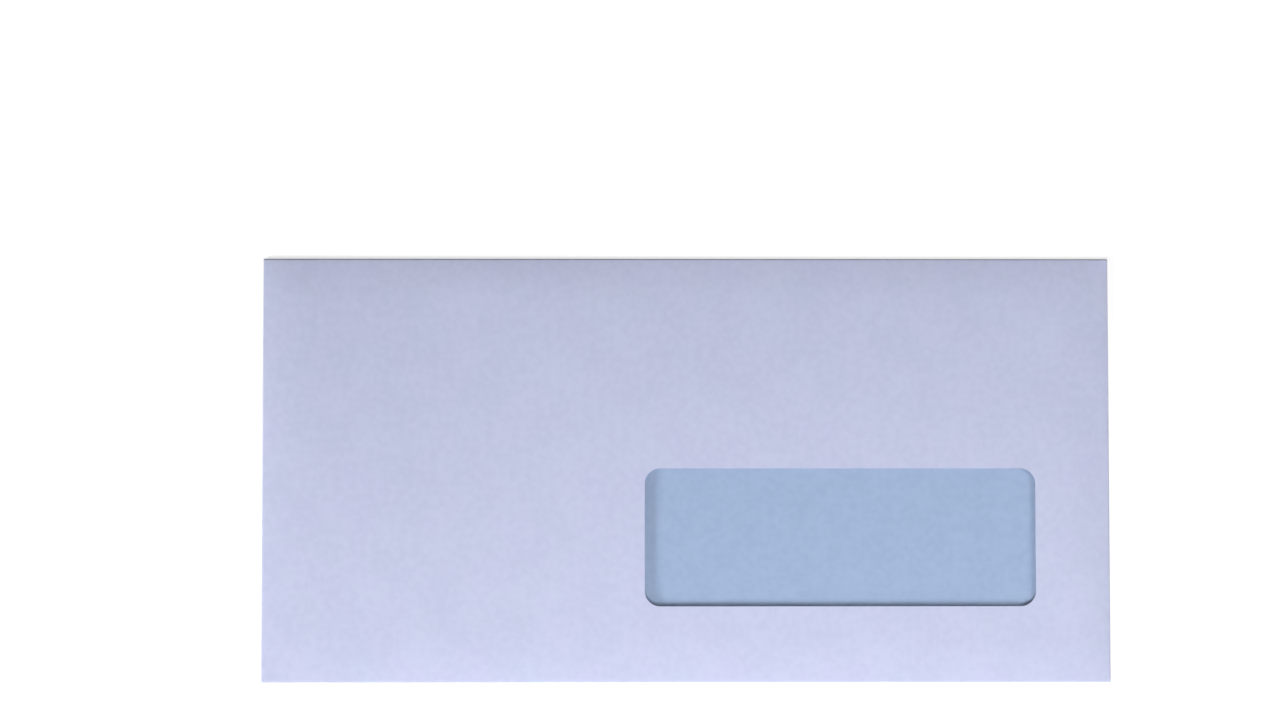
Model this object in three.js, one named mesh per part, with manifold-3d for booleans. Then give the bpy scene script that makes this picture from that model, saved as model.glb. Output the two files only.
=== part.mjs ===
// Long window envelope with a self-seal flap, in millimetres, +Z up.
// It lies on its back with the window up. The seal flap is folded under at the +Y edge, closed but not
// stuck down, with the release strip still on its adhesive.
// The origin is under the middle, on the surface it lies on.
// The paper is one die-cut blank: it is drawn flat, scored into cells where it bends, and then folded.
import * as THREE from "three";
import Module from "manifold-3d";
import { mergeVertices } from "three/addons/utils/BufferGeometryUtils.js";

const wasm = await Module();
wasm.setup();

// Finished envelope
const envelopeLength = 220;
const envelopeHeight = 110;
const paper = 0.1;

// Window opening in the front panel
const windowLength = 101.5;
const windowHeight = 35.7;
const windowFromRight = 19.3;
const windowFromBottom = 19.7;
const windowRadius = 4;

// Film behind the window, and the frame of gum that holds it
const filmThickness = 0.04;
const filmOverlap = 7.5;
const filmRadius = 2;
const filmGumThickness = 0.02;
const filmGumSetback = 1;
const filmGumMargin = 0.5;

// Side flaps, folded in between the two panels
const sideFlapWidth = 12;
const sideFlapShoulder = 1.2;
const sideFlapSlope = 0.295;
const sideFlapRadius = 1;

// Back panel, folded up from the bottom edge over the side flaps
const backPanelHeight = 95;
const backInsetAtThroat = 4.5;
const backInsetAtFold = 2;
const backPanelRadius = 8;

// Gum between a side flap and the back panel
const seamGumThickness = 0.02;
const seamGumWidth = 5;
const seamGumMargin = 1.2;
const seamGumFromFold = 4;
const seamGumRadius = 1.5;

// Seal flap, folded over at the top edge
const flapDepth = 30;
const flapInsetAtFold = 0.4;
const flapInsetAtEdge = 8.8;
const flapRadius = 8;

// Self-seal adhesive on the flap, and the release strip over it
const adhesiveFromEnd = 20;
const adhesiveWidth = 10.5;
const adhesiveFromEdge = 1.3;
const adhesiveThickness = 0.03;
const linerFromEnd = 10;
const linerWidth = 22;
const linerOverhang = 3.2;
const linerThickness = 0.06;
const stripRadius = 0.4;
const linerClearance = 0.06;

// Folds, measured at the middle of the paper, and the corners where two of them meet
const sideFoldRadius = 0.16;
const cornerRadius = 0.8;
const notchRadius = 0.5;
const cutFromCrease = 0.03;

// The front panel springs up from its folds to a flat middle, which carries the film
const frontBulge = 0.5;
const filmFromClimb = 0.5;

// The back panel rides up over the release strip
const liftRun = 12;
const liftLead = 1.8;

// Fineness of the mesh
const climbSteps = 5;
const liftSteps = 4;
const foldSteps = 8;
const arcStep = THREE.MathUtils.degToRad(12);
const normalStep = 1e-4;
const smallestArea = 1e-7;

const halfLength = envelopeLength / 2;
const halfHeight = envelopeHeight / 2;

// Levels of the middle of the paper, from the surface up
const lowestLevel = paper / 2;
const linerBottom = paper + adhesiveThickness;
const backLift = linerBottom + linerThickness + linerClearance;
const sideAboveBack = paper + seamGumThickness;
const edgeLevel = lowestLevel + backLift + sideAboveBack + 2 * sideFoldRadius;
const frontLevel = edgeLevel + frontBulge;
const frontInside = frontLevel - paper / 2;

// Where the back panel starts and ends its lift, along Y
const linerEdge = halfHeight - flapDepth - linerOverhang;
const liftEnd = linerEdge - liftLead;
const liftStart = liftEnd - liftRun;

// Width of the strip along each fold in which the front panel climbs
const climbMargin = Math.min(windowFromRight, windowFromBottom) - filmOverlap - filmFromClimb;

/** The two folds across one direction of the blank: where they start and end, and where the crease is. */
function foldPair(halfSize, radius) {
  const half = halfSize - paper / 2;
  const start = half - radius;
  const arc = Math.PI * radius;
  return { half, start, arc, end: start + arc, crease: start + arc / 2, flat: halfSize - climbMargin };
}

const sideFold = foldPair(halfLength, (edgeLevel - lowestLevel - sideAboveBack) / 2);
const endFold = foldPair(halfHeight, (edgeLevel - lowestLevel) / 2);

/** Blank coordinate of a place beyond a fold, from its distance out from the middle once folded. */
function beyond(fold, distance) {
  return fold.start + fold.end - distance;
}

/** From 0 at a fold to 1 at the flat middle, steepest at the fold. */
function climb(fold, blank) {
  const share = THREE.MathUtils.clamp((fold.start - Math.abs(blank)) / (fold.start - fold.flat), 0, 1);
  return share * (2 - share);
}

/** Angle at which the front panel runs down into a fold, where it has the given share of the full bulge. */
function lean(fold, share) {
  return Math.atan((2 * frontBulge * share) / (fold.start - fold.flat));
}

/** How far the back panel and the side flaps on it are lifted at this Y. */
function lift(y) {
  return backLift * THREE.MathUtils.smoothstep(y, liftStart, liftEnd);
}

/** Folded place of one blank coordinate: distance out from the middle, and the drop in the fold. */
function alongFold(fold, blank, drop, angle) {
  const distance = Math.abs(blank);
  const radius = drop / (1 + Math.cos(angle));
  const foot = fold.half - radius * (1 - Math.sin(angle));
  if (distance <= fold.flat) {
    return { out: distance, drop: 0 };
  }
  if (distance <= fold.start) {
    const share = (distance - fold.flat) / (fold.start - fold.flat);
    return { out: THREE.MathUtils.lerp(fold.flat, foot, share), drop: 0 };
  }
  if (distance <= fold.end) {
    const turned = THREE.MathUtils.lerp(angle, Math.PI, (distance - fold.start) / fold.arc);
    const out = foot + radius * (Math.sin(turned) - Math.sin(angle));
    return { out, drop: radius * (Math.cos(angle) - Math.cos(turned)) };
  }
  return { out: fold.half - radius - (distance - fold.end), drop };
}

/** Folded place of the middle of the paper at blank coordinates u across and v up. */
function foldedPoint(u, v) {
  const acrossShare = climb(sideFold, u);
  const upShare = climb(endFold, v);
  const up = alongFold(endFold, v, edgeLevel - lowestLevel, lean(endFold, acrossShare));
  const y = Math.sign(v) * up.out;
  const sideDrop = edgeLevel - lowestLevel - sideAboveBack - lift(y);
  const across = alongFold(sideFold, u, sideDrop, lean(sideFold, upShare));
  const z = edgeLevel + frontBulge * acrossShare * upShare - across.drop - up.drop;
  const onBackPanel = v < -endFold.end;
  return new THREE.Vector3(Math.sign(u) * across.out, y, onBackPanel ? z + lift(y) : z);
}

/** Point at a distance from the middle of the sheet, towards its outer face. */
function offsetPoint(surface, u, v, offset) {
  const across = surface(u + normalStep, v).sub(surface(u - normalStep, v));
  const up = surface(u, v + normalStep).sub(surface(u, v - normalStep));
  return across.cross(up).setLength(offset).add(surface(u, v));
}

/** Points round an outline, given as corners [x, y, radius] in counterclockwise order. */
function roundedOutline(corners) {
  const points = [];
  corners.forEach(([x, y, radius], i) => {
    const corner = new THREE.Vector2(x, y);
    const [beforeX, beforeY] = corners.at(i - 1);
    const [afterX, afterY] = corners[(i + 1) % corners.length];
    const before = new THREE.Vector2(beforeX, beforeY).sub(corner).normalize();
    const after = new THREE.Vector2(afterX, afterY).sub(corner).normalize();
    const turn = Math.PI - Math.acos(THREE.MathUtils.clamp(before.dot(after), -1, 1));
    if (radius === 0 || turn < arcStep) {
      points.push(corner);
      return;
    }
    const inward = before.clone().add(after).normalize();
    const centre = corner.clone().addScaledVector(inward, radius / Math.cos(turn / 2));
    const steps = Math.ceil(turn / arcStep);
    const side = Math.sign(before.cross(after));
    for (let k = 0; k <= steps; k += 1) {
      const angle = -side * turn * (k / steps - 0.5);
      const spoke = inward.clone().negate().rotateAround(new THREE.Vector2(), angle);
      points.push(centre.clone().addScaledVector(spoke, radius));
    }
  });
  return points;
}

/** The right half of an outline followed by its mirror image. */
function mirrored(corners) {
  return [...corners, ...corners.map(([x, y, radius]) => [-x, y, radius]).reverse()];
}

/** The part of a polygon on one side of a line across x or y. */
function clip(polygon, axis, at, side) {
  const kept = [];
  polygon.forEach((point, i) => {
    const next = polygon[(i + 1) % polygon.length];
    const here = side * (point[axis] - at);
    const there = side * (next[axis] - at);
    if (here >= 0) {
      kept.push(point);
    }
    if (here * there < 0) {
      kept.push(point.clone().lerp(next, here / (here - there)));
    }
  });
  return kept;
}

/** The pieces of an outline in the cells of a grid. */
function gridCells(outline, columns, rows) {
  const found = [];
  for (let i = 1; i < columns.length; i += 1) {
    const strip = clip(clip(outline, "x", columns[i - 1], 1), "x", columns[i], -1);
    for (let j = 1; j < rows.length; j += 1) {
      const cell = clip(clip(strip, "y", rows[j - 1], 1), "y", rows[j], -1);
      if (cell.length > 2 && THREE.ShapeUtils.area(cell) > smallestArea) {
        found.push(cell);
      }
    }
  }
  return found;
}

/** A bent sheet of even thickness: its outline in cells on both faces, and walls along its cut edge. */
function sheetGeometry(outline, columns, rows, surface, thickness) {
  const numbers = new Map();
  const flat = [];
  const numberOf = (point) => {
    const key = `${point.x.toFixed(5)} ${point.y.toFixed(5)}`;
    if (!numbers.has(key)) {
      numbers.set(key, flat.length);
      flat.push(point);
    }
    return numbers.get(key);
  };
  const triangles = [];
  const edges = new Map();
  for (const cell of gridCells(outline, columns, rows)) {
    const ring = cell.map(numberOf).filter((number, i, all) => number !== all.at(i - 1));
    const corners = ring.map((number) => flat[number]);
    for (const [a, b, c] of THREE.ShapeUtils.triangulateShape(corners, [])) {
      triangles.push([ring[a], ring[b], ring[c]]);
    }
    ring.forEach((number, i) => {
      const next = ring[(i + 1) % ring.length];
      if (!edges.delete(`${next} ${number}`)) {
        edges.set(`${number} ${next}`, [number, next]);
      }
    });
  }
  const count = flat.length;
  const positions = [];
  for (const offset of [thickness / 2, -thickness / 2]) {
    for (const point of flat) {
      positions.push(...offsetPoint(surface, point.x, point.y, offset));
    }
  }
  const index = [];
  for (const [a, b, c] of triangles) {
    index.push(a, b, c, count + a, count + c, count + b);
  }
  for (const [a, b] of edges.values()) {
    index.push(a, count + a, count + b, a, count + b, b);
  }
  const geometry = new THREE.BufferGeometry();
  geometry.setAttribute("position", new THREE.Float32BufferAttribute(positions, 3));
  geometry.setIndex(index);
  return geometry;
}

/** A solid that can be joined and cut, from a closed geometry. */
function solidOf(geometry) {
  const bare = geometry.clone();
  bare.deleteAttribute("normal");
  bare.deleteAttribute("uv");
  const merged = mergeVertices(bare, 1e-5);
  const vertProperties = new Float32Array(merged.attributes.position.array);
  const triVerts = new Uint32Array(merged.index.array);
  return new wasm.Manifold(new wasm.Mesh({ numProp: 3, vertProperties, triVerts }));
}

/** The geometry of a solid that was joined or cut. */
function geometryOf(solid) {
  const { vertProperties, triVerts } = solid.getMesh();
  const geometry = new THREE.BufferGeometry();
  geometry.setAttribute("position", new THREE.BufferAttribute(vertProperties, 3));
  geometry.setIndex(new THREE.BufferAttribute(triVerts, 1));
  return geometry;
}

/** Corners of a rectangle between two opposite corners, all with one radius. */
function rectangle(left, bottom, right, top, radius) {
  return [
    [left, bottom, radius],
    [right, bottom, radius],
    [right, top, radius],
    [left, top, radius],
  ];
}

/** A level plate of a rounded outline, from a height up. */
function plateGeometry(corners, bottom, thickness, holes = []) {
  const shape = new THREE.Shape(roundedOutline(corners));
  shape.holes = holes.map((hole) => new THREE.Path(roundedOutline(hole).reverse()));
  const geometry = new THREE.ExtrudeGeometry(shape, { depth: thickness, bevelEnabled: false });
  return geometry.translate(0, 0, bottom);
}

/** Even steps from one value to another, both included. */
function steps(from, to, count) {
  return Array.from({ length: count + 1 }, (_, i) => THREE.MathUtils.lerp(from, to, i / count));
}

/** Values in rising order, each once. */
function sorted(values) {
  return [...new Set(values)].sort((a, b) => a - b);
}

/** Score lines on one side of the middle of the front panel: its climb to a fold, and the fold. */
function foldLines(fold) {
  return [...steps(fold.flat, fold.start, climbSteps), ...steps(fold.start, fold.end, foldSteps)];
}

/** Corners of the flat blank, from the free edge of the back panel to that of the seal flap and back. */
function blankCorners() {
  const throat = -beyond(endFold, halfHeight - backPanelHeight);
  const flapEdge = beyond(endFold, halfHeight - flapDepth);
  const sideEdge = beyond(sideFold, halfLength - sideFlapWidth);
  const cornerX = sideFold.crease - cutFromCrease;
  const cornerY = endFold.crease - cutFromCrease;
  const shoulder = cornerY - sideFlapShoulder;
  const sideEdgeEnd = shoulder - sideFlapSlope * (sideEdge - cornerX);
  return mirrored([
    [halfLength - backInsetAtThroat, throat, backPanelRadius],
    [halfLength - backInsetAtFold, -cornerY, notchRadius],
    [cornerX, -cornerY, cornerRadius],
    [cornerX, -shoulder, 0],
    [sideEdge, -sideEdgeEnd, sideFlapRadius],
    [sideEdge, sideEdgeEnd, sideFlapRadius],
    [cornerX, shoulder, 0],
    [cornerX, cornerY - sideFlapShoulder / 2, 0],
    [cornerX - flapInsetAtFold, cornerY, 0],
    [cornerX - flapInsetAtEdge, flapEdge, flapRadius],
  ]);
}

/** The folded sheet of paper with its window cut out. */
function envelopeSheet() {
  const across = foldLines(sideFold);
  const far = beyond(sideFold, 0);
  const columns = sorted([-far, ...across.map((x) => -x), ...across, far]);
  const up = foldLines(endFold);
  const lifts = steps(liftStart, liftEnd, liftSteps);
  const backLifts = lifts.map((y) => -beyond(endFold, -y));
  const reach = beyond(endFold, -halfHeight);
  const rows = sorted([-reach, ...backLifts, ...up.map((y) => -y), ...lifts, ...up, reach]);
  const blank = roundedOutline(blankCorners());
  const folded = solidOf(sheetGeometry(blank, columns, rows, foldedPoint, paper));
  const cutter = solidOf(plateGeometry(windowCorners(0), frontLevel - paper, 2 * paper));
  return geometryOf(folded.subtract(cutter));
}

/** Corners of the window opening, or of a rectangle that stands back from it by a margin. */
function windowCorners(margin, radius = windowRadius) {
  const right = halfLength - windowFromRight;
  const bottom = windowFromBottom - halfHeight;
  return rectangle(
    right - windowLength - margin,
    bottom - margin,
    right + margin,
    bottom + windowHeight + margin,
    radius,
  );
}

/** The strip of gum in one side seam, which follows the lift of the back panel. */
function seamGum(side) {
  const inner = halfLength - sideFlapWidth + seamGumMargin;
  const outer = inner + seamGumWidth;
  const bottom = seamGumFromFold - halfHeight;
  const top = backPanelHeight - halfHeight - backPanelRadius;
  const left = Math.min(side * inner, side * outer);
  const outline = roundedOutline(rectangle(left, bottom, left + seamGumWidth, top, seamGumRadius));
  const level = paper + seamGumThickness / 2;
  const surface = (x, y) => new THREE.Vector3(x, y, level + lift(y));
  const columns = [-halfLength, halfLength];
  const rows = sorted([-halfHeight, ...steps(liftStart, liftEnd, liftSteps), halfHeight]);
  return sheetGeometry(outline, columns, rows, surface, seamGumThickness);
}

/** The frame of gum round the window, on the inside of the front panel. */
function windowGum() {
  const outer = windowCorners(filmOverlap - filmGumMargin, filmRadius);
  const inner = windowCorners(filmGumSetback);
  return plateGeometry(outer, frontInside - filmGumThickness, filmGumThickness, [inner]);
}

/** The clear film under that gum. */
function windowFilm() {
  const bottom = frontInside - filmGumThickness - filmThickness;
  return plateGeometry(windowCorners(filmOverlap, filmRadius), bottom, filmThickness);
}

/** The band of adhesive along the inside of the seal flap. */
function flapAdhesive() {
  const bottom = halfHeight - flapDepth + adhesiveFromEdge;
  const half = halfLength - adhesiveFromEnd;
  const corners = rectangle(-half, bottom, half, bottom + adhesiveWidth, stripRadius);
  return plateGeometry(corners, paper, adhesiveThickness);
}

/** The release strip on that adhesive, which stands past the edge of the flap so that it can be gripped. */
function releaseLiner() {
  const half = halfLength - linerFromEnd;
  const corners = rectangle(-half, linerEdge, half, linerEdge + linerWidth, stripRadius);
  return plateGeometry(corners, linerBottom, linerThickness);
}

/** One named piece with its material. */
function piece(name, geometry, material) {
  const mesh = new THREE.Mesh(geometry, new THREE.MeshStandardMaterial({ metalness: 0, ...material }));
  mesh.name = name;
  return mesh;
}

const paperLook = { color: 0xc3c8e2, roughness: 0.85 };
const gumLook = { color: 0xd9d8cc, roughness: 0.5 };
const filmLook = { color: 0xdfe9f2, roughness: 0.08, transparent: true, opacity: 0.25 };
const adhesiveLook = { color: 0xe6dcc2, roughness: 0.35 };
const linerLook = { color: 0xb3b9c9, roughness: 0.3 };

const envelope = new THREE.Group();
envelope.add(
  piece("envelope_sheet", envelopeSheet(), paperLook),
  piece("window_gum", windowGum(), gumLook),
  piece("window_film", windowFilm(), filmLook),
  piece("side_seam_gum_left", seamGum(-1), gumLook),
  piece("side_seam_gum_right", seamGum(1), gumLook),
  piece("flap_adhesive", flapAdhesive(), adhesiveLook),
  piece("release_liner", releaseLiner(), linerLook),
);

export default envelope;
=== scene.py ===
"""A long window envelope with a self-seal flap, lying on its back with the window up.

Lengths are in metres, in the frame of the construction: +X along the envelope to the window's end,
+Y to the fold of the seal flap, +Z up out of the front panel.
The sheet of paper is modelled flat, as it is die-cut, and then folded. The film, the gum, the adhesive
and the release strip keep the solids of the construction and get their finishes here.
"""

import math

import bmesh
import bpy
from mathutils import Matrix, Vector


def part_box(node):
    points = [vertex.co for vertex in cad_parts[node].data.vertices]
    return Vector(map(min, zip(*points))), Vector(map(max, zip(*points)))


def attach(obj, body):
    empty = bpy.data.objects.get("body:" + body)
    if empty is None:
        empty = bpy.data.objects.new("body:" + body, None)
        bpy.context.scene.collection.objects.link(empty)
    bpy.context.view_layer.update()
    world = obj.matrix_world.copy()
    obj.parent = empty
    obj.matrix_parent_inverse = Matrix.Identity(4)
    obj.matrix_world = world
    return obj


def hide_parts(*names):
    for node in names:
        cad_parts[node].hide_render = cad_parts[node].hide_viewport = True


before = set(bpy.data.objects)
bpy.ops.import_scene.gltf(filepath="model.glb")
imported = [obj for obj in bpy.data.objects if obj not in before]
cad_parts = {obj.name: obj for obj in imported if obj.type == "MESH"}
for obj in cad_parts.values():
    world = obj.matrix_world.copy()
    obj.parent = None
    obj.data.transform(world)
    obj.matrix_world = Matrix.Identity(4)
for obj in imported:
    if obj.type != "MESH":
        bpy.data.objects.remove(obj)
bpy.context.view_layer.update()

MM = 0.001

# Places taken from the construction
sheet_high = Vector(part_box("envelope_sheet")[1])
film_low, film_high = (Vector(corner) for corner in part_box("window_film"))
liner_low, liner_high = (Vector(corner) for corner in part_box("release_liner"))
adhesive_low, adhesive_high = (Vector(corner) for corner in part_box("flap_adhesive"))
HALF_LENGTH = sheet_high.x
HALF_HEIGHT = sheet_high.y
THICKNESS = sheet_high.z

# The paper, its folds and its cut edges
PAPER = 0.1 * MM
SEAM_GUM = 0.02 * MM
FRONT_BULGE = 0.5 * MM
FILM_OVERLAP = 7.5 * MM
FILM_FROM_CLIMB = 0.5 * MM
CLIMB_MARGIN = min(HALF_LENGTH - film_high.x, HALF_HEIGHT + film_low.y) - FILM_FROM_CLIMB
CORNER_RADIUS = 0.4 * MM
CORNER_SLOPE = 0.25 * MM
CUT_FROM_CREASE = 0.03 * MM
SIDE_FLAP_WIDTH = 12 * MM
SIDE_FLAP_SHOULDER = 1.2 * MM
SIDE_FLAP_SLOPE = 0.295
SIDE_FLAP_RADIUS = 1 * MM
BACK_PANEL_HEIGHT = 95 * MM
BACK_INSET_AT_THROAT = 4.5 * MM
BACK_INSET_AT_FOLD = 2 * MM
FLAP_DEPTH = 30 * MM
FLAP_INSET_AT_FOLD = 0.4 * MM
FLAP_INSET_AT_EDGE = 8.8 * MM
FREE_CORNER_RADIUS = 8 * MM
WINDOW_RADIUS = 4 * MM

# Levels of the middle of the paper
LOWEST_LEVEL = PAPER / 2
SIDE_ABOVE_BACK = PAPER + SEAM_GUM
EDGE_LEVEL = THICKNESS - PAPER / 2 - FRONT_BULGE

# The back panel's climb over the release strip, along Y
LINER_CLEARANCE = 0.06 * MM
LIFT_RUN = 12 * MM
LIFT_LEAD = 1.8 * MM
BACK_LIFT = liner_high.z + LINER_CLEARANCE
LIFT_END = liner_low.y - LIFT_LEAD
LIFT_START = LIFT_END - LIFT_RUN

# How finely the paper is divided and its corners are rounded
FOLD_STEPS = 12
CLIMB_STEPS = 10
LIFT_STEPS = 8
PANEL_STEP = 4 * MM
CORNER_SEGMENTS = 6
SIDE_FLAP_SEGMENTS = 4
FREE_CORNER_SEGMENTS = 14
WINDOW_SEGMENTS = 14
SMOOTH_ANGLE = math.radians(40)

# How near a point lies to a line to count as on it, when it is selected and when it is scored
NEARBY = 0.01 * MM
ON_SCORE = 1e-7

# The unevenness of the front panel, which dies out at the folds and over the film.
# Its two waves reach 1.6 together, and WAVES_TO_HEIGHT keeps them within the height.
WAVE_HEIGHT = 0.14 * MM
WAVE_FADE = 12 * MM
WAVES_TO_HEIGHT = 0.6
SLOW_WAVE = (21 * MM, 17 * MM)
SLOW_START = (0.6, -0.9)
DIAGONAL_WAVE = (13 * MM, 24 * MM)
DIAGONAL_START = 2.1
DIAGONAL_SHARE = 0.6


class Fold:
    """The two like folds that cross one direction of the blank."""

    def __init__(self, half_size, radius):
        self.half = half_size - PAPER / 2
        self.start = self.half - radius
        self.arc = math.pi * radius
        self.end = self.start + self.arc
        self.crease = self.start + self.arc / 2
        self.flat = half_size - CLIMB_MARGIN

    def beyond(self, distance):
        """Blank coordinate of a place beyond the fold, from its distance out from the middle once folded."""
        return self.start + self.end - distance

    def climb(self, blank):
        """From 0 at the fold to 1 at the flat middle."""
        share = (self.start - abs(blank)) / (self.start - self.flat)
        share = min(max(share, 0.0), 1.0)
        return share * (2 - share)

    def lean(self, share):
        """Angle at which the front panel runs down into the fold."""
        return math.atan(2 * FRONT_BULGE * share / (self.start - self.flat))

    def place(self, blank, drop, angle):
        """Distance out from the middle, and the drop in the fold, of one blank coordinate."""
        distance = abs(blank)
        radius = drop / (1 + math.cos(angle))
        foot = self.half - radius * (1 - math.sin(angle))
        if distance <= self.flat:
            return distance, 0.0
        if distance <= self.start:
            share = (distance - self.flat) / (self.start - self.flat)
            return self.flat + (foot - self.flat) * share, 0.0
        if distance <= self.end:
            turned = angle + (math.pi - angle) * (distance - self.start) / self.arc
            out = foot + radius * (math.sin(turned) - math.sin(angle))
            return out, radius * (math.cos(angle) - math.cos(turned))
        return self.half - radius - (distance - self.end), drop


side_fold = Fold(HALF_LENGTH, (EDGE_LEVEL - LOWEST_LEVEL - SIDE_ABOVE_BACK) / 2)
end_fold = Fold(HALF_HEIGHT, (EDGE_LEVEL - LOWEST_LEVEL) / 2)

# Places on the flat blank, out from the middle of the front panel
CORNER_X = side_fold.crease - CUT_FROM_CREASE
CORNER_Y = end_fold.crease - CUT_FROM_CREASE
SHOULDER = CORNER_Y - SIDE_FLAP_SHOULDER
SIDE_EDGE = side_fold.beyond(HALF_LENGTH - SIDE_FLAP_WIDTH)
SHOULDER_AT_EDGE = SHOULDER - SIDE_FLAP_SLOPE * (SIDE_EDGE - CORNER_X)
THROAT = end_fold.beyond(HALF_HEIGHT - BACK_PANEL_HEIGHT)
BACK_HALF_AT_FOLD = HALF_LENGTH - BACK_INSET_AT_FOLD
BACK_HALF_AT_THROAT = HALF_LENGTH - BACK_INSET_AT_THROAT
FLAP_EDGE = end_fold.beyond(HALF_HEIGHT - FLAP_DEPTH)
FLAP_HALF_AT_FOLD = CORNER_X - FLAP_INSET_AT_FOLD
FLAP_HALF_AT_EDGE = CORNER_X - FLAP_INSET_AT_EDGE


def smooth_share(value, low, high):
    """From 0 at low to 1 at high, level at both ends."""
    share = min(max((value - low) / (high - low), 0.0), 1.0)
    return share * share * (3 - 2 * share)


def lift(y):
    """How far the back panel rides up over the release strip."""
    return BACK_LIFT * smooth_share(y, LIFT_START, LIFT_END)


def panel_wave(x, y):
    """The slight unevenness of the front panel away from the film."""
    away_x = max(film_low.x - x, x - film_high.x, 0.0)
    away_y = max(film_low.y - y, y - film_high.y, 0.0)
    from_film = smooth_share(math.hypot(away_x, away_y), 0.0, WAVE_FADE)
    slow = math.sin(x / SLOW_WAVE[0] + SLOW_START[0]) * math.cos(y / SLOW_WAVE[1] + SLOW_START[1])
    along_diagonal = x / DIAGONAL_WAVE[0] + y / DIAGONAL_WAVE[1]
    diagonal = DIAGONAL_SHARE * math.sin(along_diagonal + DIAGONAL_START)
    return WAVE_HEIGHT * from_film * WAVES_TO_HEIGHT * (slow + diagonal)


def folded_point(u, v):
    """Folded place of the middle of the paper at blank coordinates u across and v up."""
    across_share = side_fold.climb(u)
    up_share = end_fold.climb(v)
    up, up_drop = end_fold.place(v, EDGE_LEVEL - LOWEST_LEVEL, end_fold.lean(across_share))
    y = math.copysign(up, up * v)
    side_drop = EDGE_LEVEL - LOWEST_LEVEL - SIDE_ABOVE_BACK - lift(y)
    across, across_drop = side_fold.place(u, side_drop, side_fold.lean(up_share))
    x = math.copysign(across, across * u)
    bulge = FRONT_BULGE * across_share * up_share
    bulge += panel_wave(x, y) * across_share * up_share
    level = EDGE_LEVEL + bulge - across_drop - up_drop
    if v < -end_fold.end:
        level += lift(y)
    return Vector((x, y, level))


def deselect_all():
    bpy.ops.object.select_all(action="DESELECT")


def active_only(piece):
    """Selects one piece alone and makes it the active one."""
    deselect_all()
    piece.select_set(True)
    bpy.context.view_layer.objects.active = piece


def select_edges(piece, test):
    """In edit mode, selects the edges whose two ends pass the test."""
    bpy.ops.mesh.select_mode(type="EDGE")
    bpy.ops.mesh.select_all(action="DESELECT")
    mesh = bmesh.from_edit_mesh(piece.data)
    for edge in mesh.edges:
        edge.select_set(all(test(vertex.co) for vertex in edge.verts))
    bmesh.update_edit_mesh(piece.data)


def select_vertices(piece, test):
    """In edit mode, selects the vertices that pass the test."""
    bpy.ops.mesh.select_mode(type="VERT")
    bpy.ops.mesh.select_all(action="DESELECT")
    mesh = bmesh.from_edit_mesh(piece.data)
    for vertex in mesh.verts:
        vertex.select_set(test(vertex.co))
    bmesh.update_edit_mesh(piece.data)


def score(across, at):
    """Cuts every face of the edited sheet along a straight line, across X or Y."""
    bpy.ops.mesh.select_all(action="SELECT")
    normal = (1, 0, 0) if across == "x" else (0, 1, 0)
    place = [at * part for part in normal]
    bpy.ops.mesh.bisect(plane_co=place, plane_no=normal, threshold=ON_SCORE)


def near(value, target):
    return abs(value - target) < NEARBY


def extrude_flap(piece, test, move, taper):
    """Draws a flap out of the edges that pass the test, and narrows or widens its free edge."""
    select_edges(piece, test)
    bpy.ops.mesh.extrude_edges_move(TRANSFORM_OT_translate={"value": move})
    bpy.ops.transform.resize(value=taper, center_override=(0, 0, 0))


def round_corners(piece, test, radius, segments):
    """Rounds the corners of the sheet at the vertices that pass the test."""
    select_vertices(piece, test)
    bpy.ops.mesh.bevel(offset=radius, segments=segments, affect="VERTICES")


def steps(low, high, count):
    """Evenly spaced values from low to high, both ends included."""
    return [low + (high - low) * i / count for i in range(count + 1)]


def fold_lines(fold):
    """Score lines of one fold and of the climb up to the flat middle of the front panel."""
    return steps(fold.flat, fold.start, CLIMB_STEPS) + steps(fold.start, fold.end, FOLD_STEPS)


def panel_lines(fold):
    """Lines that divide the flat middle of the front panel evenly."""
    return steps(-fold.flat, fold.flat, round(2 * fold.flat / PANEL_STEP))[1:-1]


def front_panel():
    """The flat front panel in edit mode, cut into strips where its flaps and shoulders begin."""
    deselect_all()
    bpy.ops.mesh.primitive_plane_add(size=2, location=(0, 0, 0))
    piece = bpy.context.object
    bpy.ops.object.mode_set(mode="EDIT")
    bpy.ops.transform.resize(value=(CORNER_X, CORNER_Y, 1))
    for at in (BACK_HALF_AT_FOLD, FLAP_HALF_AT_FOLD):
        score("x", at)
        score("x", -at)
    score("y", SHOULDER)
    score("y", -SHOULDER)
    return piece


def draw_flaps(piece):
    """Draws the side flaps, the back panel and the seal flap out of the edges of the front panel."""
    for side in (-1, 1):
        extrude_flap(
            piece,
            lambda co: near(co.x, side * CORNER_X) and abs(co.y) < SHOULDER + NEARBY,
            (side * (SIDE_EDGE - CORNER_X), 0, 0),
            (1, SHOULDER_AT_EDGE / SHOULDER, 1),
        )
    extrude_flap(
        piece,
        lambda co: near(co.y, -CORNER_Y) and abs(co.x) < BACK_HALF_AT_FOLD + NEARBY,
        (0, CORNER_Y - THROAT, 0),
        (BACK_HALF_AT_THROAT / BACK_HALF_AT_FOLD, 1, 1),
    )
    extrude_flap(
        piece,
        lambda co: near(co.y, CORNER_Y) and abs(co.x) < FLAP_HALF_AT_FOLD + NEARBY,
        (0, FLAP_EDGE - CORNER_Y, 0),
        (FLAP_HALF_AT_EDGE / FLAP_HALF_AT_FOLD, 1, 1),
    )


def is_free_corner(co):
    """True at the ends of the back panel's throat edge and of the seal flap's free edge."""
    at_throat = near(co.y, -THROAT) and near(abs(co.x), BACK_HALF_AT_THROAT)
    at_flap_edge = near(co.y, FLAP_EDGE) and near(abs(co.x), FLAP_HALF_AT_EDGE)
    return at_throat or at_flap_edge


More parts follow.
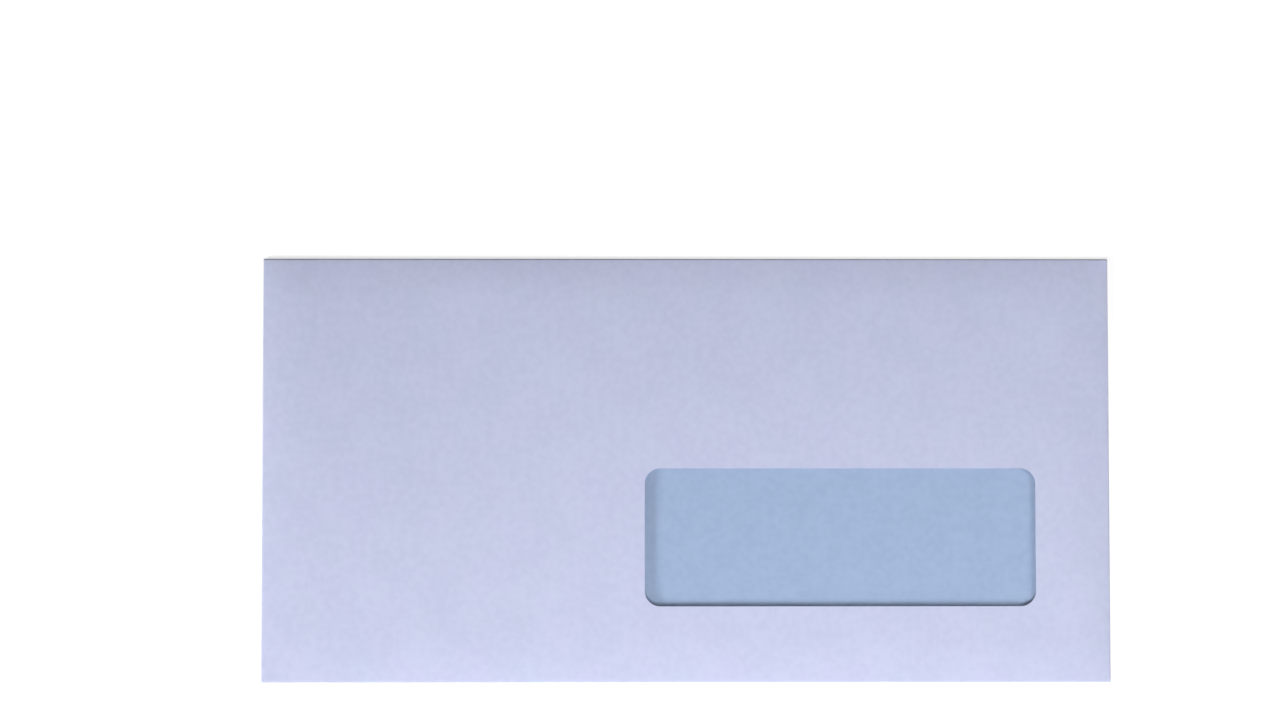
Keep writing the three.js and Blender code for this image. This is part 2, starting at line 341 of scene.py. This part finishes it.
def shape_corners(piece):
    """Slopes the upper corners of the front panel and rounds the other corners of the blank."""
    select_vertices(piece, lambda co: near(abs(co.x), CORNER_X) and near(co.y, CORNER_Y))
    bpy.ops.transform.translate(value=(0, -CORNER_SLOPE, 0))
    round_corners(
        piece,
        lambda co: near(abs(co.x), CORNER_X) and near(co.y, -CORNER_Y),
        CORNER_RADIUS,
        CORNER_SEGMENTS,
    )
    round_corners(piece, lambda co: near(abs(co.x), SIDE_EDGE), SIDE_FLAP_RADIUS, SIDE_FLAP_SEGMENTS)
    round_corners(piece, is_free_corner, FREE_CORNER_RADIUS, FREE_CORNER_SEGMENTS)


def score_blank():
    """Scores the blank where it bends and divides its flat middle, then cuts it all into triangles."""
    for at in fold_lines(side_fold):
        score("x", at)
        score("x", -at)
    for at in panel_lines(side_fold):
        score("x", at)
    for at in fold_lines(end_fold):
        score("y", at)
        score("y", -at)
    for at in panel_lines(end_fold):
        score("y", at)
    # The climb over the release strip bends the back panel and, beside it, the side flaps
    for at in steps(LIFT_START, LIFT_END, LIFT_STEPS):
        score("y", -end_fold.beyond(-at))
        score("y", at)
    bpy.ops.mesh.select_all(action="SELECT")
    bpy.ops.mesh.quads_convert_to_tris(quad_method="SHORTEST_DIAGONAL", ngon_method="BEAUTY")


def flat_blank():
    """The die-cut blank, flat, with the middle of its front panel at the origin."""
    piece = front_panel()
    draw_flaps(piece)
    shape_corners(piece)
    score_blank()
    bpy.ops.object.mode_set(mode="OBJECT")
    return piece


def keep_blank_coordinates(piece):
    """Stores each point's place on the flat blank, so that print and grain follow the folded paper."""
    piece.data.uv_layers.remove(piece.data.uv_layers[0])
    layer = piece.data.uv_layers.new(name="blank")
    for loop in piece.data.loops:
        place = piece.data.vertices[loop.vertex_index].co
        layer.data[loop.index].uv = (place.x, place.y)


def apply_modifier(piece, name):
    active_only(piece)
    bpy.ops.object.modifier_apply(modifier=name)


# Places of the sheet's three finishes in its list of materials
OUTSIDE, INSIDE, CUT_EDGE = range(3)


def fold_sheet(piece):
    """Folds the flat blank and gives it the thickness of the paper."""
    for vertex in piece.data.vertices:
        vertex.co = folded_point(vertex.co.x, vertex.co.y)
    thicken = piece.modifiers.new("thicken", "SOLIDIFY")
    thicken.thickness = PAPER
    thicken.offset = 0
    thicken.use_quality_normals = True
    thicken.use_even_offset = True
    thicken.material_offset = INSIDE
    thicken.material_offset_rim = CUT_EDGE
    apply_modifier(piece, "thicken")


# The height of the block that cuts the window, and how far from level a cut wall's normal may be
CUTTER_HEIGHT = 3 * PAPER
WALL_NORMAL = 0.3


def window_cutter():
    """A block with rounded upright edges, as wide as the window opening."""
    low = film_low + Vector((FILM_OVERLAP, FILM_OVERLAP, 0))
    high = film_high - Vector((FILM_OVERLAP, FILM_OVERLAP, 0))
    middle = (low + high) / 2
    deselect_all()
    bpy.ops.mesh.primitive_cube_add(size=1, location=(middle.x, middle.y, THICKNESS - PAPER / 2))
    cutter = bpy.context.object
    cutter.scale = (high.x - low.x, high.y - low.y, CUTTER_HEIGHT)
    bpy.ops.object.transform_apply(location=True, rotation=True, scale=True)
    bpy.ops.object.mode_set(mode="EDIT")
    bpy.ops.mesh.select_mode(type="EDGE")
    bpy.ops.mesh.select_all(action="DESELECT")
    mesh = bmesh.from_edit_mesh(cutter.data)
    for edge in mesh.edges:
        one, other = (vertex.co for vertex in edge.verts)
        edge.select_set(abs(one.z - other.z) > PAPER)
    bmesh.update_edit_mesh(cutter.data)
    bpy.ops.mesh.bevel(offset=WINDOW_RADIUS, segments=WINDOW_SEGMENTS, affect="EDGES")
    bpy.ops.object.mode_set(mode="OBJECT")
    return cutter


def cut_window(piece):
    """Cuts the window opening and marks its cut edge."""
    cutter = window_cutter()
    cut = piece.modifiers.new("window", "BOOLEAN")
    cut.operation = "DIFFERENCE"
    cut.solver = "EXACT"
    cut.object = cutter
    apply_modifier(piece, "window")
    bpy.data.objects.remove(cutter, do_unlink=True)
    for face in piece.data.polygons:
        within_x = film_low.x < face.center.x < film_high.x
        within_y = film_low.y < face.center.y < film_high.y
        if within_x and within_y and abs(face.normal.z) < WALL_NORMAL:
            face.material_index = CUT_EDGE


def new_material(name):
    """An empty node material, with its node tree, its Principled node and the output that this feeds."""
    material = bpy.data.materials.new(name)
    material.use_nodes = True
    tree = material.node_tree
    tree.nodes.clear()
    output = tree.nodes.new("ShaderNodeOutputMaterial")
    shader = tree.nodes.new("ShaderNodeBsdfPrincipled")
    tree.links.new(shader.outputs["BSDF"], output.inputs["Surface"])
    return material, tree, shader, output


def math_node(tree, operation, first, second):
    """A Math node of two inputs, each a number or a socket."""
    node = tree.nodes.new("ShaderNodeMath")
    node.operation = operation
    for socket, value in zip(node.inputs, (first, second)):
        if isinstance(value, (int, float)):
            socket.default_value = value
        else:
            tree.links.new(value, socket)
    return node.outputs[0]


def shares_added(tree, first, first_share, second, second_share):
    """Two factors added, each by its share."""
    one = math_node(tree, "MULTIPLY", first, first_share)
    other = math_node(tree, "MULTIPLY", second, second_share)
    return math_node(tree, "ADD", one, other)


def noise(tree, coordinates, per_metre, detail, roughness=0.55):
    """A noise pattern with about so many grains to a metre."""
    node = tree.nodes.new("ShaderNodeTexNoise")
    node.inputs["Scale"].default_value = per_metre
    node.inputs["Detail"].default_value = detail
    node.inputs["Roughness"].default_value = roughness
    tree.links.new(coordinates, node.inputs["Vector"])
    return node.outputs["Fac"]


def ramp_between(tree, factor, low, high):
    """Spreads the part of a factor between low and high over 0 to 1."""
    node = tree.nodes.new("ShaderNodeMapRange")
    node.interpolation_type = "SMOOTHSTEP"
    node.inputs["From Min"].default_value = low
    node.inputs["From Max"].default_value = high
    tree.links.new(factor, node.inputs["Value"])
    return node.outputs["Result"]


# Places of the factor, the two colours and the mixed colour among the sockets of a Mix node
MIX_INPUTS = (0, 6, 7)
MIX_OUTPUT = 2


def mix_colours(tree, factor, first, second, blend="MIX"):
    """A colour mix; each colour is a tuple or a socket, and the factor a number or a socket."""
    node = tree.nodes.new("ShaderNodeMix")
    node.data_type = "RGBA"
    node.blend_type = blend
    for index, value in zip(MIX_INPUTS, (factor, first, second)):
        socket = node.inputs[index]
        if isinstance(value, bpy.types.NodeSocket):
            tree.links.new(value, socket)
        elif isinstance(value, (int, float)):
            socket.default_value = value
        else:
            socket.default_value = (*value, 1)
    return node.outputs[MIX_OUTPUT]


def blank_coordinates(tree):
    """Places on the flat blank, in metres."""
    node = tree.nodes.new("ShaderNodeUVMap")
    node.uv_map = "blank"
    return node.outputs["UV"]


def object_coordinates(tree):
    return tree.nodes.new("ShaderNodeTexCoord").outputs["Object"]


def bump(tree, shader, height, strength, distance):
    """Raises the surface by a pattern, up to the distance."""
    node = tree.nodes.new("ShaderNodeBump")
    node.inputs["Strength"].default_value = strength
    node.inputs["Distance"].default_value = distance
    tree.links.new(height, node.inputs["Height"])
    tree.links.new(node.outputs["Normal"], shader.inputs["Normal"])


# Colours of the paper and its print, as linear values
PAPER_COLOUR = (0.555, 0.588, 0.777)
PAPER_SHADE = (0.521, 0.554, 0.743)
PINKISH = (1.000, 0.984, 1.000)
GREENISH = (0.988, 1.000, 0.990)
PAPER_OVER_TINT = (0.470, 0.510, 0.705)
TINT_COLOUR = (0.400, 0.500, 0.693)
TINT_SHADE = (0.362, 0.462, 0.652)
CUT_COLOUR = (0.600, 0.630, 0.790)

# Grains to a metre in the patterns of the paper and its print
CLOUD_GRAINS = 480
PATCH_GRAINS = 75
CAST_GRAINS = 62
FIBRE_GRAINS = 5200
FELT_GRAINS = 1100
SPECK_GRAINS = 520
BLOT_GRAINS = 150
CUT_FIBRE_GRAINS = 6500

# How much each pattern counts: in the look-through, in the print and in the relief of the paper
CLOUD_SHARE = 0.58
PATCH_SHARE = 0.42
SPECK_SHARE = 0.68
BLOT_SHARE = 0.32
FIBRE_SHARE = 0.5
FELT_SHARE = 1.0

# The middle part of a noise, which holds nearly all of it, that two colours are spread over
NOISE_LOW = 0.36
NOISE_HIGH = 0.64

# How deep the fibres and the felt of the paper are, and how rough from one fibre to the next
PAPER_RELIEF = 0.02 * MM
LEAST_ROUGH = 0.72
MOST_ROUGH = 0.88


def paper_colour(tree, coordinates):
    """The cloudy look-through of wove paper, with patches of two slightly different casts."""
    clouds = noise(tree, coordinates, CLOUD_GRAINS, detail=3, roughness=0.5)
    patches = noise(tree, coordinates, PATCH_GRAINS, detail=3)
    grain = shares_added(tree, clouds, CLOUD_SHARE, patches, PATCH_SHARE)
    colour = mix_colours(tree, ramp_between(tree, grain, NOISE_LOW, NOISE_HIGH), PAPER_SHADE, PAPER_COLOUR)
    casts = noise(tree, coordinates, CAST_GRAINS, detail=4, roughness=0.65)
    cast = mix_colours(tree, ramp_between(tree, casts, NOISE_LOW, NOISE_HIGH), PINKISH, GREENISH)
    return mix_colours(tree, 1.0, colour, cast, "MULTIPLY")


def paper_surface(tree, shader, coordinates):
    """The felt of the paper: fine fibres over slower unevenness."""
    fibres = noise(tree, coordinates, FIBRE_GRAINS, detail=3, roughness=0.7)
    felt = noise(tree, coordinates, FELT_GRAINS, detail=3)
    relief = shares_added(tree, fibres, FIBRE_SHARE, felt, FELT_SHARE)
    bump(tree, shader, relief, strength=0.35, distance=PAPER_RELIEF)
    roughness = tree.nodes.new("ShaderNodeMapRange")
    roughness.inputs["To Min"].default_value = LEAST_ROUGH
    roughness.inputs["To Max"].default_value = MOST_ROUGH
    tree.links.new(fibres, roughness.inputs["Value"])
    tree.links.new(roughness.outputs["Result"], shader.inputs["Roughness"])
    shader.inputs["Specular IOR Level"].default_value = 0.25


def box_share(tree, coordinates, low, high, softness):
    """1 inside a rectangle of the blank and 0 outside, with soft edges."""
    apart = tree.nodes.new("ShaderNodeSeparateXYZ")
    tree.links.new(coordinates, apart.inputs[0])
    share = None
    for axis in range(2):
        place = apart.outputs[axis]
        for from_value, to_value in (
            (low[axis] - softness, low[axis] + softness),
            (high[axis] + softness, high[axis] - softness),
        ):
            side = ramp_between(tree, place, from_value, to_value)
            share = side if share is None else math_node(tree, "MULTIPLY", share, side)
    return share


# How much the print shows through the back panel, and how softly this ends
SHOW_THROUGH = 0.35
SHOW_THROUGH_EDGE = 0.3 * MM


def paper_outside():
    """White wove paper with a cool cast; the blue print shows faintly through the back panel."""
    material, tree, shader, _ = new_material("envelope_paper")
    place = blank_coordinates(tree)
    colour = paper_colour(tree, place)
    single_low = (SIDE_FLAP_WIDTH - HALF_LENGTH, -THROAT)
    single_high = (HALF_LENGTH - SIDE_FLAP_WIDTH, -end_fold.end)
    over_pocket = box_share(tree, place, single_low, single_high, SHOW_THROUGH_EDGE)
    share = math_node(tree, "MULTIPLY", over_pocket, SHOW_THROUGH)
    colour = mix_colours(tree, share, colour, PAPER_OVER_TINT)
    tree.links.new(colour, shader.inputs["Base Color"])
    paper_surface(tree, shader, place)
    return material


# The print inside ends so far short of the side folds, of the throat and of the seal flap's ends,
# and on the seal flap so far from its fold
PRINT_FROM_SIDE_FOLD = 0.6 * MM
PRINT_FROM_THROAT = 2 * MM
PRINT_FROM_FLAP_END = 12 * MM
PRINT_ON_FLAP = 12.5 * MM
PRINT_EDGE = 0.15 * MM


def print_share(tree, coordinates):
    """1 where the inside of the blank is printed: on both panels and on the seal flap next to its fold."""
    half = HALF_LENGTH - PRINT_FROM_SIDE_FOLD
    low = (-half, -THROAT + PRINT_FROM_THROAT)
    panels = box_share(tree, coordinates, low, (half, end_fold.crease), PRINT_EDGE)
    flap_half = HALF_LENGTH - PRINT_FROM_FLAP_END
    flap_high = (flap_half, end_fold.crease + PRINT_ON_FLAP)
    flap = box_share(tree, coordinates, (-flap_half, end_fold.start), flap_high, PRINT_EDGE)
    return math_node(tree, "MAXIMUM", panels, flap)


def paper_inside():
    """The blue print inside, which leaves the side flaps and the edge of the seal flap bare."""
    material, tree, shader, _ = new_material("envelope_tint")
    place = blank_coordinates(tree)
    specks = noise(tree, place, SPECK_GRAINS, detail=5, roughness=0.6)
    blots = noise(tree, place, BLOT_GRAINS, detail=3)
    grain = shares_added(tree, specks, SPECK_SHARE, blots, BLOT_SHARE)
    printed = mix_colours(tree, ramp_between(tree, grain, NOISE_LOW, NOISE_HIGH), TINT_SHADE, TINT_COLOUR)
    colour = mix_colours(tree, print_share(tree, place), paper_colour(tree, place), printed)
    tree.links.new(colour, shader.inputs["Base Color"])
    paper_surface(tree, shader, place)
    return material


def paper_cut_edge():
    """The cut edge of the paper, a little rougher and paler than its faces."""
    material, tree, shader, _ = new_material("envelope_cut_edge")
    fibres = noise(tree, object_coordinates(tree), CUT_FIBRE_GRAINS, detail=3, roughness=0.7)
    colour = mix_colours(tree, fibres, PAPER_SHADE, CUT_COLOUR)
    tree.links.new(colour, shader.inputs["Base Color"])
    shader.inputs["Roughness"].default_value = 0.9
    shader.inputs["Specular IOR Level"].default_value = 0.2
    bump(tree, shader, fibres, strength=0.4, distance=PAPER_RELIEF)
    return material


def envelope_paper():
    """The folded sheet with its three finishes."""
    piece = flat_blank()
    piece.name = "folded_sheet"
    piece.data.name = "folded_sheet"
    keep_blank_coordinates(piece)
    for material in (paper_outside(), paper_inside(), paper_cut_edge()):
        piece.data.materials.append(material)
    fold_sheet(piece)
    cut_window(piece)
    active_only(piece)
    bpy.ops.object.shade_smooth_by_angle(angle=SMOOTH_ANGLE)
    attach(piece, "root")
    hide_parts("envelope_sheet")
    return piece


def partly_clear(tree, shader, output, body_share, clear_colour):
    """Mixes the surface with clear see-through, by the share that the surface takes."""
    clear = tree.nodes.new("ShaderNodeBsdfTransparent")
    clear.inputs["Color"].default_value = (*clear_colour, 1)
    mix = tree.nodes.new("ShaderNodeMixShader")
    tree.links.new(body_share, mix.inputs["Fac"])
    tree.links.new(clear.outputs["BSDF"], mix.inputs[1])
    tree.links.new(shader.outputs["BSDF"], mix.inputs[2])
    tree.links.new(mix.outputs["Shader"], output.inputs["Surface"])


# The film: a faint haze all over, and a painted reflection of the white surroundings, a matt veil that rises
# steeply where it is seen at a low angle
FILM_HAZE_AND_REFLECTION_COLOUR = (0.64, 0.74, 0.86)
FILM_CLEAR_COLOUR = (0.985, 0.992, 1.0)
FILM_HAZE = 0.03
FILM_REFLECTION_AT_LOW_ANGLE = 0.5
FILM_RISE = 5.0
FILM_WAVE_GRAINS = 90
FILM_HAZE_GRAINS = 45


def clear_film():
    """Thin clear film, which shows a faint haze and a painted reflection as a matt veil, more at a low
    angle, and lets the rest pass.
    """
    material, tree, shader, output = new_material("clear_film")
    place = object_coordinates(tree)
    # Matt colour of the haze, and of the painted reflection that stands in for the mirrored white
    # surroundings
    shader.inputs["Base Color"].default_value = (*FILM_HAZE_AND_REFLECTION_COLOUR, 1)
    shader.inputs["Specular IOR Level"].default_value = 0.3
    shader.inputs["Roughness"].default_value = 0.16
    bump(tree, shader, noise(tree, place, FILM_WAVE_GRAINS, detail=2), strength=0.15, distance=0.1 * MM)
    slant = tree.nodes.new("ShaderNodeLayerWeight")
    slant.inputs["Blend"].default_value = 0.5
    # Painted reflection: the matt veil rises steeply towards a low angle
    rise = math_node(tree, "POWER", slant.outputs["Facing"], FILM_RISE)
    haze = noise(tree, place, FILM_HAZE_GRAINS, detail=2)
    haze_and_reflection = shares_added(tree, rise, FILM_REFLECTION_AT_LOW_ANGLE, haze, FILM_HAZE)
    partly_clear(tree, shader, output, haze_and_reflection, FILM_CLEAR_COLOUR)
    return material


# The gum, bluish where it is thin and yellowish where it is thick
GUM_THIN_COLOUR = (0.62, 0.64, 0.66)
GUM_THICK_COLOUR = (0.70, 0.70, 0.66)
GUM_GRAINS = 260


def dry_gum():
    """Thin dried gum, a little uneven and yellowish."""
    material, tree, shader, _ = new_material("dry_gum")
    spread = noise(tree, object_coordinates(tree), GUM_GRAINS, detail=4)
    colour = mix_colours(tree, spread, GUM_THIN_COLOUR, GUM_THICK_COLOUR)
    tree.links.new(colour, shader.inputs["Base Color"])
    shader.inputs["Roughness"].default_value = 0.4
    bump(tree, shader, spread, strength=0.3, distance=0.03 * MM)
    return material


# The self-seal band. Its yellow edge sets in, and is full, so far inside its outline.
BAND_SHADE = (0.53, 0.55, 0.62)
BAND_COLOUR = (0.60, 0.61, 0.66)
BAND_EDGE_COLOUR = (0.72, 0.60, 0.42)
BAND_EDGE_START = 0.9 * MM
BAND_EDGE_FULL = 0.1 * MM
BAND_GRAINS = 420


def seal_adhesive():
    """The self-seal band: pale, tacky and faintly yellow along both edges."""
    material, tree, shader, _ = new_material("seal_adhesive")
    place = object_coordinates(tree)
    apart = tree.nodes.new("ShaderNodeSeparateXYZ")
    tree.links.new(place, apart.inputs[0])
    middle = (adhesive_low.y + adhesive_high.y) / 2
    half = (adhesive_high.y - adhesive_low.y) / 2
    from_middle = math_node(tree, "ABSOLUTE", math_node(tree, "SUBTRACT", apart.outputs[1], middle), 0.0)
    edge = ramp_between(tree, from_middle, half - BAND_EDGE_START, half - BAND_EDGE_FULL)
    blotches = noise(tree, place, BAND_GRAINS, detail=5, roughness=0.6)
    body = mix_colours(tree, blotches, BAND_SHADE, BAND_COLOUR)
    colour = mix_colours(tree, edge, body, BAND_EDGE_COLOUR)
    tree.links.new(colour, shader.inputs["Base Color"])
    shader.inputs["Roughness"].default_value = 0.28
    bump(tree, shader, blotches, strength=0.5, distance=0.04 * MM)
    return material


# The release strip. The part of it that isn't see-through is LINER_BODY, and more in its clouds.
LINER_SHADE = (0.40, 0.44, 0.54)
LINER_COLOUR = (0.48, 0.52, 0.62)
LINER_CLEAR_COLOUR = (0.93, 0.95, 0.98)
LINER_BODY = 0.62
LINER_BODY_IN_CLOUDS = 0.12
LINER_GRAINS = 480
LINER_NOISE_LOW = 0.3
LINER_NOISE_HIGH = 0.7


def release_liner():
    """Silicone-coated glassine: grey, cloudy and partly see-through."""
    material, tree, shader, output = new_material("release_liner")
    grain = noise(tree, object_coordinates(tree), LINER_GRAINS, detail=5, roughness=0.6)
    clouds = ramp_between(tree, grain, LINER_NOISE_LOW, LINER_NOISE_HIGH)
    colour = mix_colours(tree, clouds, LINER_SHADE, LINER_COLOUR)
    tree.links.new(colour, shader.inputs["Base Color"])
    shader.inputs["Roughness"].default_value = 0.32
    bump(tree, shader, clouds, strength=0.2, distance=0.02 * MM)
    more = math_node(tree, "MULTIPLY", clouds, LINER_BODY_IN_CLOUDS)
    partly_clear(tree, shader, output, math_node(tree, "ADD", more, LINER_BODY), LINER_CLEAR_COLOUR)
    return material


def finish_solids():
    """Gives the solids that stay as constructed their finishes."""
    gum = dry_gum()
    finishes = {
        "window_film": clear_film(),
        "window_gum": gum,
        "side_seam_gum_left": gum,
        "side_seam_gum_right": gum,
        "flap_adhesive": seal_adhesive(),
        "release_liner": release_liner(),
    }
    for node, material in finishes.items():
        solid = bpy.data.objects[node]
        for slot in solid.material_slots:
            slot.material = material


# The floor. Where it is seen, it glows up to white: less near the envelope, where the lamps
# light it, and fully from GLOW_END out.
FLOOR_SIZE = 6.0
FLOOR_GAP = 0.02 * MM
FLOOR_GREY = 0.52
GLOW_NEAR = 0.62
GLOW_FAR = 1.0
GLOW_START = 0.12
GLOW_END = 0.28


def seen_directly(tree):
    """1 for rays that show the background itself: from the camera, mirrored, or let through by glass."""
    path = tree.nodes.new("ShaderNodeLightPath")
    shown = math_node(tree, "MAXIMUM", path.outputs["Is Camera Ray"], path.outputs["Is Glossy Ray"])
    return math_node(tree, "MAXIMUM", shown, path.outputs["Is Transmission Ray"])


def floor_material():
    """Matt white that keeps the shadow of the envelope."""
    material = bpy.data.materials.new("white_table")
    material.use_nodes = True
    tree = material.node_tree
    tree.nodes.clear()
    output = tree.nodes.new("ShaderNodeOutputMaterial")
    matt = tree.nodes.new("ShaderNodeBsdfDiffuse")
    matt.inputs["Color"].default_value = (FLOOR_GREY, FLOOR_GREY, FLOOR_GREY, 1)
    from_middle = tree.nodes.new("ShaderNodeVectorMath")
    from_middle.operation = "LENGTH"
    tree.links.new(object_coordinates(tree), from_middle.inputs[0])
    spread = ramp_between(tree, from_middle.outputs["Value"], GLOW_START, GLOW_END)
    more = math_node(tree, "MULTIPLY", spread, GLOW_FAR - GLOW_NEAR)
    strength = math_node(tree, "ADD", more, GLOW_NEAR)
    glow = tree.nodes.new("ShaderNodeEmission")
    tree.links.new(math_node(tree, "MULTIPLY", seen_directly(tree), strength), glow.inputs["Strength"])
    both = tree.nodes.new("ShaderNodeAddShader")
    tree.links.new(matt.outputs[0], both.inputs[0])
    tree.links.new(glow.outputs[0], both.inputs[1])
    tree.links.new(both.outputs[0], output.inputs["Surface"])
    return material


def studio_floor():
    """A white table that the envelope lies on."""
    deselect_all()
    bpy.ops.mesh.primitive_plane_add(size=FLOOR_SIZE, location=(0, 0, -FLOOR_GAP))
    floor = bpy.context.object
    floor.name = "floor"
    floor.data.materials.append(floor_material())


WHITE = (1, 1, 1, 1)
WORLD_STRENGTH = 0.04


def studio_world():
    """Even light all round, and plain white where the background itself is seen."""
    world = bpy.data.worlds.new("studio")
    bpy.context.scene.world = world
    world.use_nodes = True
    tree = world.node_tree
    tree.nodes.clear()
    output = tree.nodes.new("ShaderNodeOutputWorld")
    light = tree.nodes.new("ShaderNodeBackground")
    light.inputs["Color"].default_value = WHITE
    light.inputs["Strength"].default_value = WORLD_STRENGTH
    white = tree.nodes.new("ShaderNodeBackground")
    white.inputs["Color"].default_value = WHITE
    mix = tree.nodes.new("ShaderNodeMixShader")
    tree.links.new(seen_directly(tree), mix.inputs["Fac"])
    tree.links.new(light.outputs[0], mix.inputs[1])
    tree.links.new(white.outputs[0], mix.inputs[2])
    tree.links.new(mix.outputs[0], output.inputs["Surface"])


# Each lamp's place, its width and height, and its power in watts
LAMPS = {
    "key_lamp": ((0.010, -0.278, 0.287), 0.08, 0.05, 0.66),
    "left_lamp": ((-0.850, -0.439, 0.292), 0.20, 0.20, 10.3),
    "right_lamp": ((0.387, -0.061, 0.310), 0.23, 0.23, 0.756),
    "soft_lamp": ((0.028, -0.178, 0.466), 0.20, 0.20, 0.55),
}
LAMPS_AIM = Vector((0, 0, 0))


def studio_lamp(name, place, width, height, power):
    """An area lamp that aims at the middle of the envelope."""
    data = bpy.data.lights.new(name, "AREA")
    data.shape = "RECTANGLE"
    data.size = width
    data.size_y = height
    data.energy = power
    lamp = bpy.data.objects.new(name, data)
    bpy.context.collection.objects.link(lamp)
    lamp.location = place
    lamp.rotation_euler = (LAMPS_AIM - Vector(place)).to_track_quat("-Z", "Y").to_euler()
    lamp.visible_camera = False


def studio_lamps():
    """A key lamp beyond the bottom edge, one lamp at each side and a soft one above."""
    for name, (place, width, height, power) in LAMPS.items():
        studio_lamp(name, place, width, height, power)


CAMERA_PLACE = (-0.0205, -0.0124, 0.7861)
CAMERA_TURN = (2.990, -0.618, -0.020)
CAMERA_LENS = 85
CAMERA_SENSOR = 36


def studio_camera():
    """Looks down on the envelope, a little from its bottom edge."""
    data = bpy.data.cameras.new("camera")
    data.lens = CAMERA_LENS
    data.sensor_width = CAMERA_SENSOR
    camera = bpy.data.objects.new("camera", data)
    bpy.context.collection.objects.link(camera)
    camera.location = CAMERA_PLACE
    camera.rotation_euler = [math.radians(angle) for angle in CAMERA_TURN]
    bpy.context.scene.camera = camera


bpy.context.scene.view_settings.view_transform = "Standard"
studio_camera()
studio_lamps()
studio_world()
studio_floor()
envelope_paper()
finish_solids()
